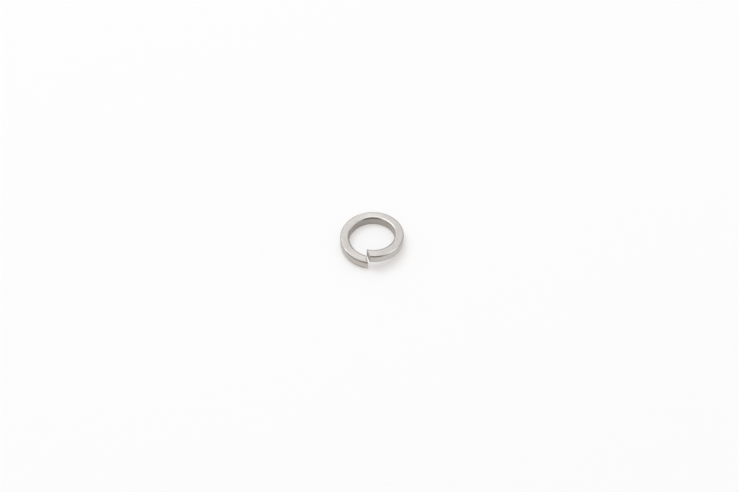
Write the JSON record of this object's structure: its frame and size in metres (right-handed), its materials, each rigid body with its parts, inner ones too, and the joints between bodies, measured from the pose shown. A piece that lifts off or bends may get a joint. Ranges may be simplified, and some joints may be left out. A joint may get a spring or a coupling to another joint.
{
  "type": "spring lock washer",
  "caption": "Split ring washer of keystone steel bar, coiled left-handed through one turn with a slanted, wedge-shaped cut, that clamps as a spring under a bolt head or nut.",
  "frame": {"origin": "on the bore's axis, level with the washer's lowest point", "axes": "+Z along the bore towards the raised cut end, -Y towards the split, +X towards the raised half of the coil"},
  "size_m": [0.0171, 0.0171, 0.0054],
  "materials": {
    "washer_steel": "plain stainless steel, satin, drawn along the bar"
  },
  "bodies": {
    "root": {"lock_washer": "washer_steel"}
  },
  "joints": []
}
